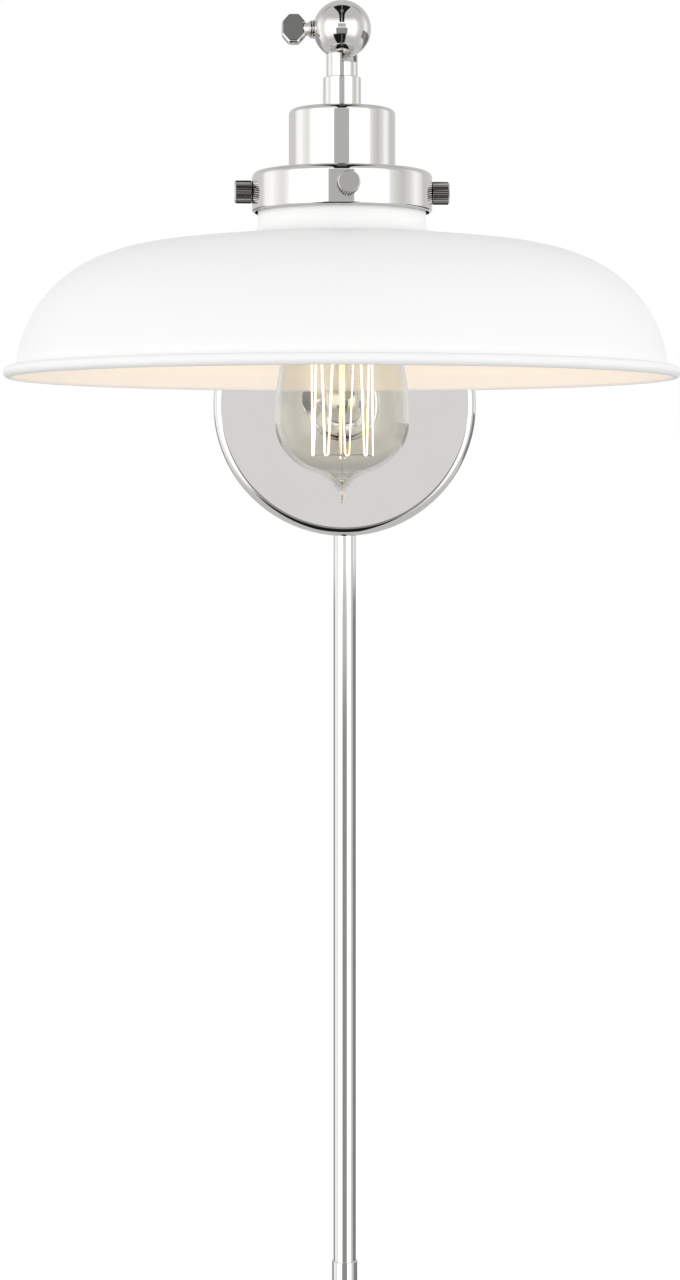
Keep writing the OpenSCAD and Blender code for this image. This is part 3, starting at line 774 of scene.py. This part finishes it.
tube = turned("arm_tube_polished", [
    (arm_r, neck_end), (arm_r, arm_length - arm_upper_neck),
    (arm_r - arm_wall, arm_length - arm_upper_neck),
    (arm_r - arm_wall, neck_end)], 96)
stand(tube, lower, lean)
smooth(tube)
finished(tube, nickel, "arm", "polished_nickel", "arm_tube")


def stem_collar(name, low, bore_r):
    """Turned sleeve with eased ends."""
    high = low + collar_length
    r = arm_collar_r
    return turned(name, [
        (bore_r, low), (r - 0.0004, low), *arc((r - 0.0004, low + 0.0004), 0.0004, -90, 0, 4),
        *arc((r - 0.0004, high - 0.0004), 0.0004, 0, 90, 4), (bore_r, high),
    ], 120)


upper_sleeve = arm_length - arm_upper_neck - collar_length
for name, low in (("arm_lower_collar", neck_end), ("arm_upper_collar", upper_sleeve)):
    sleeve = stem_collar(name + "_sleeve", low, arm_r + 0.00002)
    stand(sleeve, lower, lean)
    smooth(sleeve)
    finished(sleeve, nickel, "arm", "polished_nickel", name)

over_arm = Vector((0, math.cos(math.radians(lean)), math.sin(math.radians(lean))))
coat(frame["nodes"]["arm_leads"], insulation("arm_lead_insulation", tuple(over_arm), tuple(lower)))
coat(frame["nodes"]["head_leads"], insulation("head_lead_insulation", (0, 1, 0), tuple(upper)))


# ---------------------------------------------------------------- stem and socket cup
# Below the upper swivel a thicker sleeve stands on the round cup that covers the lampholder.
# The nipple through them is brass; cup and sleeve are polished like the rest.

cup_low, cup_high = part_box("socket_cup")
cup_r = cup_high.x
cup_edge = 0.0026
axis = Vector((0, upper.y, 0))

sleeve = stem_collar("stem_sleeve", cup_high.z, nipple_r)
stand(sleeve, axis)
smooth(sleeve)
finished(sleeve, nickel, "head", "polished_nickel", "stem_collar")

cup = turned("socket_cup_shell", [
    (nipple_r, cup_high.z), (nipple_r, cup_high.z - sheet),
    *arc((cup_r - cup_edge, cup_high.z - cup_edge), cup_edge - sheet, 90, 0, 8),
    (cup_r - sheet, cup_low.z), *arc((cup_r - 0.0004, cup_low.z + 0.0004), 0.0004, -90, 0, 4),
    *arc((cup_r - cup_edge, cup_high.z - cup_edge), cup_edge, 0, 90, 16),
], 192)
stand(cup, axis)
smooth(cup)
finished(cup, nickel, "head", "polished_nickel", "socket_cup")

stem_low, stem_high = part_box("stem_nipple")
stem_nipple = threaded_tube("stem_nipple_thread", crest_r, nipple_in, stem_low.z, stem_high.z)
stand(stem_nipple, axis)
smooth(stem_nipple)
finished(stem_nipple, brass, "head", "brass", "stem_nipple")


# ---------------------------------------------------------------- lampholder
# Glazed porcelain with a rolled-thread brass shell inside, and the spring contact above.

porcelain = Finish("glazed_porcelain", Roughness=0.12, Coat_Weight=0.6)
porcelain.set(Base_Color=porcelain.mix(
    porcelain.noise(120, 4), (0.80, 0.78, 0.73, 1), (0.87, 0.85, 0.81, 1)))
porcelain.relief(porcelain.noise(420), 0.0001, 0.25)
coat(frame["nodes"]["lampholder_body"], porcelain)

shell_low, shell_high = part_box("lampholder_shell")
shell_wall = 0.0003
thread_depth = 0.0005
thread_rise = 0.0036


def rolled_thread(name, out_r, low, high):
    """Thin brass shell pressed into rounded thread rings."""
    count = max(2, round((high - low) / thread_rise))
    points = 8 * count
    wave = [
        (out_r - thread_depth / 2 * (1 - math.cos(math.tau * count * i / points)),
         low + (high - low) * i / points)
        for i in range(points + 1)
    ]
    return turned(name, wave + [(x - shell_wall, z) for x, z in reversed(wave)], 96)


shell = rolled_thread("lampholder_thread", shell_high.x, shell_low.z, shell_high.z)
stand(shell, axis)
smooth(shell)
finished(shell, brass, "head", "brass", "lampholder_shell")


# ---------------------------------------------------------------- shade holder
# Wide spun collar that hangs under the cup and slips over the shade's neck. Its lower lip is
# rolled inwards, and four knurled screws through its wall grip the neck.

holder_low, holder_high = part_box("shade_holder")
holder_r = holder_high.x
holder_in = 0.018
holder_edge = 0.003
holder_lip = 0.0013
holder = turned("shade_holder_collar", [
    (holder_in, holder_high.z), (holder_in, holder_high.z - sheet),
    *arc((holder_r - holder_edge, holder_high.z - holder_edge), holder_edge - sheet, 90, 0, 10),
    *arc((holder_r - holder_lip, holder_low.z + holder_lip), holder_lip - sheet, 0, -90, 8),
    *arc((holder_r - holder_lip, holder_low.z + holder_lip), holder_lip, -90, 0, 12),
    *arc((holder_r - holder_edge, holder_high.z - holder_edge), holder_edge, 0, 90, 16),
], 256)
stand(holder, axis)
screw_low, screw_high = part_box("holder_screw_right")
screw_head_r = (screw_high.z - screw_low.z) / 2
screw_z = (screw_high.z + screw_low.z) / 2
screw_turn = 4
screws = {"right": 0, "rear": 90, "left": 180, "front": 270}
screw_middle = axis + Vector((0, 0, screw_z))
for turn in screws.values():
    bearing = math.radians(screw_turn + turn)
    outwards = Matrix.Rotation(bearing, 4, "Z") @ Vector((holder_r - 0.001, 0, 0))
    carve(holder, rod(0.00205, 0.01, screw_middle + outwards, 48, (0, math.pi / 2, bearing)))
smooth(holder)
finished(holder, nickel, "head", "polished_nickel", "shade_holder")


# ---------------------------------------------------------------- holder screws
# Cylindrical knurled heads with a smooth polished face, on a thin threaded shank.

shade_neck_r = 0.038
head_end = holder_r + 0.0078
knurls = 30
knurl_depth = 0.00034
head_back = holder_r + 0.0001
face_ease = 0.0005


def knurled_nickel(name, middle, outwards):
    """The same plating, rougher in the grooves, which are also painted darker as painted shade."""
    made = Finish(name, Metallic=1.0)
    offset = made.vector("SUBTRACT", made.place, middle)
    distance = made.vector("DOT_PRODUCT", offset, outwards, output="Value")
    across = made.vector("CROSS_PRODUCT", offset, outwards)
    radius = made.vector("LENGTH", across, output="Value")
    # painted shade: a mask over the knurl grooves, not the face, that darkens them
    painted_groove_shade = 1 - radius.step(screw_head_r - 0.00042, screw_head_r - 0.00008)
    painted_groove_shade = painted_groove_shade * (1 - distance.step(head_end - 0.0006, head_end - 0.0003))
    # the dark colour in the grooves is painted shade
    made.set(Base_Color=made.mix(painted_groove_shade, (0.74, 0.73, 0.71, 1), (0.15, 0.146, 0.14, 1)),
             Roughness=painted_groove_shade * 0.35 + made.noise(300) * 0.03 + 0.04)
    return made


def knurled_screw(name, turn):
    """A screw pointing outwards along +Z before it is laid down."""
    far = head_end
    tip = shade_neck_r + 0.0003
    shank = [(0, tip), (0.0015, tip), (0.002, tip + 0.0005)]
    pitch = 0.0007
    for i in range(int((head_back - tip - 0.001) / pitch)):
        z = tip + 0.0005 + i * pitch
        shank += [(0.002, z + pitch * 0.1), (0.0017, z + pitch * 0.5)]
    screw = turned(name, [
        *shank, (0.0019, head_back), (screw_head_r - knurl_depth, head_back),
        (screw_head_r, head_back + 0.0003), (screw_head_r, far - face_ease),
        *arc((screw_head_r - 0.0007, far - 0.0003), 0.0003, 15, 90, 4), (0, far),
    ], knurls * 2)
    bpy.ops.object.mode_set(mode="EDIT")
    bpy.ops.mesh.select_all(action="DESELECT")
    bpy.ops.object.mode_set(mode="OBJECT")
    for vertex in screw.data.vertices:
        flute = round(math.degrees(math.atan2(vertex.co.y, vertex.co.x)) * knurls * 2 / 360)
        on_rim = math.hypot(vertex.co.x, vertex.co.y) > screw_head_r - 0.0001
        vertex.select = on_rim and flute % 2 == 0
    bpy.ops.object.mode_set(mode="EDIT")
    shrink = 1 - knurl_depth * 1.6 / screw_head_r
    bpy.ops.transform.resize(value=(shrink, shrink, 1), center_override=(0, 0, 0))
    bpy.ops.object.mode_set(mode="OBJECT")
    laid = Matrix.Rotation(math.radians(screw_turn + turn), 4, "Z") @ Matrix.Rotation(math.pi / 2, 4, "Y")
    settle(screw, Matrix.Translation(screw_middle) @ laid)
    smooth(screw, angle=25)
    return screw


for side, turn in screws.items():
    outwards = tuple(Matrix.Rotation(math.radians(screw_turn + turn), 4, "Z") @ Vector((1, 0, 0)))
    plating = knurled_nickel("knurled_nickel_" + side, tuple(screw_middle), outwards)
    finished(knurled_screw("knurled_screw_" + side, turn), plating, "screw_" + side,
             "polished_nickel", "holder_screw_" + side)


# ---------------------------------------------------------------- shade
# Spun from 1 mm sheet: an upright neck, a nearly flat crown that rolls over into an upright
# wall, and a wire-rolled edge. Sprayed matt white inside and out, with a faint orange peel.

shade_low, shade_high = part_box("shade")
shade_r = shade_high.x
shade_wall = 0.001
rim = shade_low.z
apex = rim + 0.0655
crown_r, middle_r, shoulder_r = 0.678, 0.088, 0.058
crown_end, middle_end, shoulder_end = 7.5, 23.3, 83.4
neck_fillet = 0.007
edge_r = 0.0026


def offset_point(start, angle, length):
    """The point at an angle from upright and a distance away."""
    a = math.radians(angle)
    return (start[0] + length * math.sin(a), start[1] + length * math.cos(a))


def shade_side(inset):
    """The shade's outline from neck to rolled edge, as tangent arcs, inset by a thickness."""
    crown_c = (0, apex - crown_r)
    middle_c = offset_point(crown_c, crown_end, crown_r - middle_r)
    shoulder_c = offset_point(middle_c, middle_end, middle_r - shoulder_r)
    fillet_out = shade_neck_r + neck_fillet
    fillet_c = (fillet_out, crown_c[1] + math.sqrt((crown_r + neck_fillet) ** 2 - fillet_out ** 2))
    start = math.degrees(math.asin(fillet_out / (crown_r + neck_fillet)))
    return [
        *arc(fillet_c, neck_fillet + inset, 180, 270 - start, 12),
        *arc(crown_c, crown_r - inset, 90 - start, 90 - crown_end, 8)[1:],
        *arc(middle_c, middle_r - inset, 90 - crown_end, 90 - middle_end, 10)[1:],
        *arc(shoulder_c, shoulder_r - inset, 90 - middle_end, 90 - shoulder_end, 36)[1:],
    ]


paint = Finish("white_paint", Roughness=0.5)
paint.set(
    Base_Color=paint.mix(paint.noise(22, 3), (0.86, 0.86, 0.855, 1), (0.88, 0.88, 0.875, 1)),
    Roughness=paint.noise(260, 2) * 0.1 + 0.42,
)
paint.relief(paint.noise(620, 2), 0.00005, 0.35)

shade_top = shade_high.z
bead = (shade_r - edge_r, rim + edge_r)
shade = turned("dome_shade", [
    (shade_neck_r - shade_wall, shade_top - 0.0003), (shade_neck_r - shade_wall + 0.0003, shade_top),
    (shade_neck_r + 0.0007, shade_top), (shade_neck_r + 0.001, shade_top - 0.0003),
    (shade_neck_r + 0.001, shade_top - 0.0009), (shade_neck_r + 0.0007, shade_top - 0.0012),
    (shade_neck_r, shade_top - 0.0012),
    *shade_side(0), *arc(bead, edge_r, 150, -165, 28), *reversed(shade_side(shade_wall)),
], 256)
stand(shade, axis)
smooth(shade, angle=50)
finished(shade, paint, "head", "white_paint", "shade")
shade.visible_glossy = False


# ---------------------------------------------------------------- lamp base
# Screw base of thin rolled brass, with a black glass insulator and a soldered tip contact.

base_low, base_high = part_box("bulb_base")
base = rolled_thread("lamp_base_thread", base_high.x, base_low.z, base_high.z)
stand(base, axis)
smooth(base)
finished(base, brass, "lamp", "brass", "bulb_base")

insulator = Finish("base_insulator")
contact_height = insulator.node("ShaderNodeSeparateXYZ", {}, {"Vector": insulator.place}, "Z")
tip_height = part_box("bulb_contact")[1].z - 0.0018
solder = insulator.math("GREATER_THAN", contact_height, tip_height)
insulator.set(
    Base_Color=insulator.mix(solder, (0.008, 0.008, 0.010, 1), (0.55, 0.55, 0.54, 1)),
    Metallic=solder, Roughness=solder * 0.2 + insulator.noise(500) * 0.1 + 0.08,
)
coat(frame["nodes"]["bulb_contact"], insulator)


# ---------------------------------------------------------------- lamp glass
# Clear pear-shaped glass blown in a mould, faintly smoky, with the drawn-out tip left where
# the air was pumped out. The wall is 0.8 mm.

glass = Finish("smoky_glass", Roughness=0.0, IOR=1.47)
glass.set(Transmission_Weight=1.0, Base_Color=glass.mix(
    glass.noise(14, 2), (0.855, 0.835, 0.775, 1), (0.885, 0.865, 0.81, 1)))

glass_low, glass_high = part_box("bulb_glass")
glass_r = glass_high.x
glass_wall = 0.0008
widest = -0.0176
bottom = -0.0425
bowl_fullness = 0.9
bowl_from = 0.0085
neck_r = base_high.x - 0.0001


def pear(inset):
    """The glass outline from the bottom up to the base, inset by a thickness."""
    r = glass_r - inset
    low = bottom + inset
    neck = neck_r - inset
    bowl = [
        (r * math.cos(math.radians(a)) ** bowl_fullness,
         widest + (widest - low) * math.sin(math.radians(a)))
        for a in range(-84, 0, 6)
    ]
    side = [
        (neck + (r - neck) * (0.5 + 0.5 * math.cos(math.pi * (i / 28) ** 1.1)),
         widest + (glass_high.z - widest) * i / 28)
        for i in range(29)
    ]
    return bowl + side


tip_outside = [
    (0, glass_low.z), (0.0006, glass_low.z + 0.0003), (0.0009, glass_low.z + 0.0012),
    (0.0011, glass_low.z + 0.0035), (0.0018, bottom - 0.0062), (0.0032, bottom - 0.0042),
    (0.0048, bottom - 0.0022), (0.0068, bottom - 0.0009),
]
tip_inside = [
    (0.0064, bottom + 0.0001), (0.0042, bottom - 0.0014), (0.0025, bottom - 0.0035),
    (0.0010, bottom - 0.0056), (0, bottom - 0.0062),
]
bulb = turned("lamp_glass", [
    *tip_outside, *[p for p in pear(0) if p[0] > bowl_from],
    *[p for p in reversed(pear(glass_wall)) if p[0] > bowl_from], *tip_inside,
], 160)
stand(bulb, axis)
smooth(bulb, angle=60)
finished(bulb, glass, "lamp", "clear_glass", "bulb_glass")
bulb.visible_shadow = False


# ---------------------------------------------------------------- glass stem and filament
# A flared foot and a thin glass rod carry two stars of wire hooks; one long filament is laced
# up and down between them in narrow bends, like a cage. It glows yellow-white.

foot_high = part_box("bulb_stem")[1]
cage_low_box, cage_high_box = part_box("filament_supports")
cage_low = cage_low_box.z + 0.00025
cage_high = cage_high_box.z - 0.00025
cage_r = cage_high_box.x

clear = Finish("stem_glass", Roughness=0.0, IOR=1.5)
clear.set(Transmission_Weight=1.0, Base_Color=clear.mix(
    clear.noise(60), (0.95, 0.95, 0.93, 1), (0.97, 0.97, 0.96, 1)))
foot = turned("glass_foot_and_rod", [
    (0, cage_low - 0.0014), (0.0018, cage_low - 0.0013), (0.0024, cage_low - 0.0008),
    (0.0024, cage_low + 0.0002), (0.0014, cage_low + 0.001), (0.0014, cage_high - 0.006),
    (0.0022, cage_high - 0.0045), (0.0032, cage_high - 0.003), (0.0034, cage_high + 0.002),
    (0.0036, foot_high.z - 0.016), (0.006, foot_high.z - 0.007), (0.0114, foot_high.z), (0, foot_high.z),
], 48)
stand(foot, axis)
smooth(foot, angle=60)
finished(foot, clear, "lamp", "clear_glass", "bulb_stem")
foot.visible_shadow = False

hook_wire = Finish("support_wire", Metallic=1.0, Roughness=0.3)
hook_wire.set(Base_Color=hook_wire.mix(hook_wire.noise(800), (0.45, 0.43, 0.40, 1), (0.60, 0.58, 0.55, 1)))
glow = Finish("filament_glow", Roughness=0.5)
edge_of_wire = glow.node("ShaderNodeLayerWeight", {}, {"Blend": 0.35}, "Facing")
glow.set(Base_Color=(0.9, 0.5, 0.2, 1), Emission_Color=glow.mix(
    edge_of_wire.step(0.25, 0.85), (1.0, 0.86, 0.62, 1), (1.0, 0.42, 0.10, 1)), Emission_Strength=2.6)


def wire(name, runs, thickness):
    """Round wire along runs of points, made a mesh."""
    line = bpy.data.curves.new(name, "CURVE")
    line.dimensions = "3D"
    line.bevel_depth = thickness
    line.bevel_resolution = 3
    line.use_fill_caps = True
    for points in runs:
        spline = line.splines.new("POLY")
        spline.points.add(len(points) - 1)
        for point, place in zip(spline.points, points):
            point.co = (*place, 1)
    piece = bpy.data.objects.new(name, line)
    bpy.context.scene.collection.objects.link(piece)
    only(piece)
    bpy.ops.object.convert(target="MESH")
    return bpy.context.active_object


def spoke(turn, out, high):
    """A point on the cage, by its angle, its distance from the rod and its height."""
    a = math.radians(turn)
    return (out * math.cos(a), axis.y + out * math.sin(a), high)


bends = 9
bend_angle = 360 / bends
filament_r = 0.00029
loop_r = 0.0009
lacing = []
for i in range(bends):
    low_turn = i * bend_angle
    high_turn = low_turn + bend_angle / 2
    # up one side of a bend, round the upper hook, and down to the next lower hook
    for z, turn, sign in ((cage_high, high_turn, 1), (cage_low, low_turn + bend_angle, -1)):
        gap = math.degrees(loop_r / cage_r)
        for a in range(0, 181, 45):
            side = -math.cos(math.radians(a)) * gap
            lift = math.sin(math.radians(a)) * loop_r * sign
            lacing.append(spoke(turn + side, cage_r, z + lift - sign * loop_r))
filament = wire("laced_filament", [lacing], filament_r)
finished(filament, glow, "lamp", "filament_glow", "filament")

hooks = []
for i in range(bends):
    for z, turn, root in (
        (cage_low, i * bend_angle, 0.0018), (cage_high, (i + 0.5) * bend_angle, 0.0028)
    ):
        hooks.append([
            spoke(turn, root, z), spoke(turn, cage_r * 0.6, z + 0.0006),
            spoke(turn, cage_r - 0.0002, z - 0.0002),
            spoke(turn, cage_r + 0.0004, z + (0.0004 if z > 0 else -0.0004)),
        ])
for side, turn in ((-1, 180), (1, 0)):
    hooks.append([
        (side * 0.0045, axis.y, foot_high.z - 0.006), (side * 0.004, axis.y, cage_high + 0.008),
        spoke(turn, cage_r * 0.5, cage_high + 0.003), spoke(turn, cage_r, cage_high),
    ])
supports = wire("filament_hooks", hooks, 0.00018)
finished(supports, hook_wire, "lamp", "support_wire", "filament_supports")

# the lamp's own warm light, spread over the cage
bulb_light = bpy.data.lights.new("lamp_light", "POINT")
bulb_light.energy = 0.30
bulb_light.color = (1.0, 0.72, 0.40)
bulb_light.shadow_soft_size = 0.012
bulb_glow = bpy.data.objects.new("lamp_light", bulb_light)
bulb_glow.location = axis + Vector((0, 0, (cage_low + cage_high) / 2 - 0.01))
bpy.context.scene.collection.objects.link(bulb_glow)
bulb_glow.visible_transmission = False
bulb_glow.visible_glossy = False
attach(bulb_glow, "lamp")

# the polished collar and plate don't mirror the lamp and what holds it
for hidden in (bulb, foot, filament, supports, base, shell,
               frame["nodes"]["lampholder_body"], frame["nodes"]["holder_ring"]):
    hidden.visible_glossy = False
